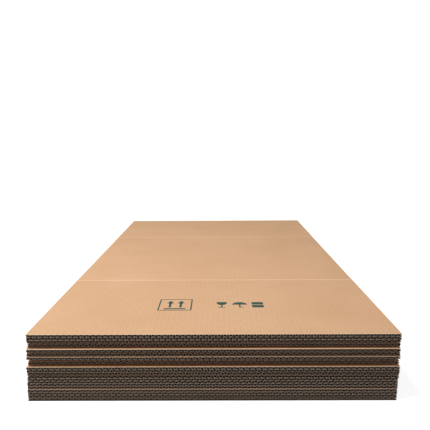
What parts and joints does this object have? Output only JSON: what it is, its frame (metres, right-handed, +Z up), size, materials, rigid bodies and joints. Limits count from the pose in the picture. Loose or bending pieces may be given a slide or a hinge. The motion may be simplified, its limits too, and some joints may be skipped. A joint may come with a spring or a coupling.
{
  "type": "stack of flattened cardboard boxes",
  "caption": "Stack of corrugated moving boxes, knocked flat and folded in half, with fluted front edges, creased flaps and liftable top flaps.",
  "frame": {"origin": "on the floor, under the middle of the stack", "axes": "+X to the right along the front edge, +Y to the back along the flutes, +Z up"},
  "size_m": [0.5104, 0.8968, 0.0958],
  "materials": {
    "kraft_board": "matt brown kraft liner",
    "kraft_flap": null
  },
  "bodies": {
    "pack": {"box_1": "kraft_board", "box_2": "kraft_board", "box_3": "kraft_board", "box_4": "kraft_board", "box_5": "kraft_board"},
    "front_flap": {"box_1_front_flap": "kraft_flap"},
    "back_flap": {"box_1_back_flap": "kraft_board"}
  },
  "joints": [
    {"name": "front_flap_crease", "type": "hinge", "parent": "pack", "child": "front_flap", "pos_m": [0, -0.193, 0.09545], "axis": [-1, 0, 0], "range_deg": [0, 135]},
    {"name": "back_flap_crease", "type": "hinge", "parent": "pack", "child": "back_flap", "pos_m": [0, 0.193, 0.09545], "axis": [1, 0, 0], "range_deg": [0, 135]}
  ]
}
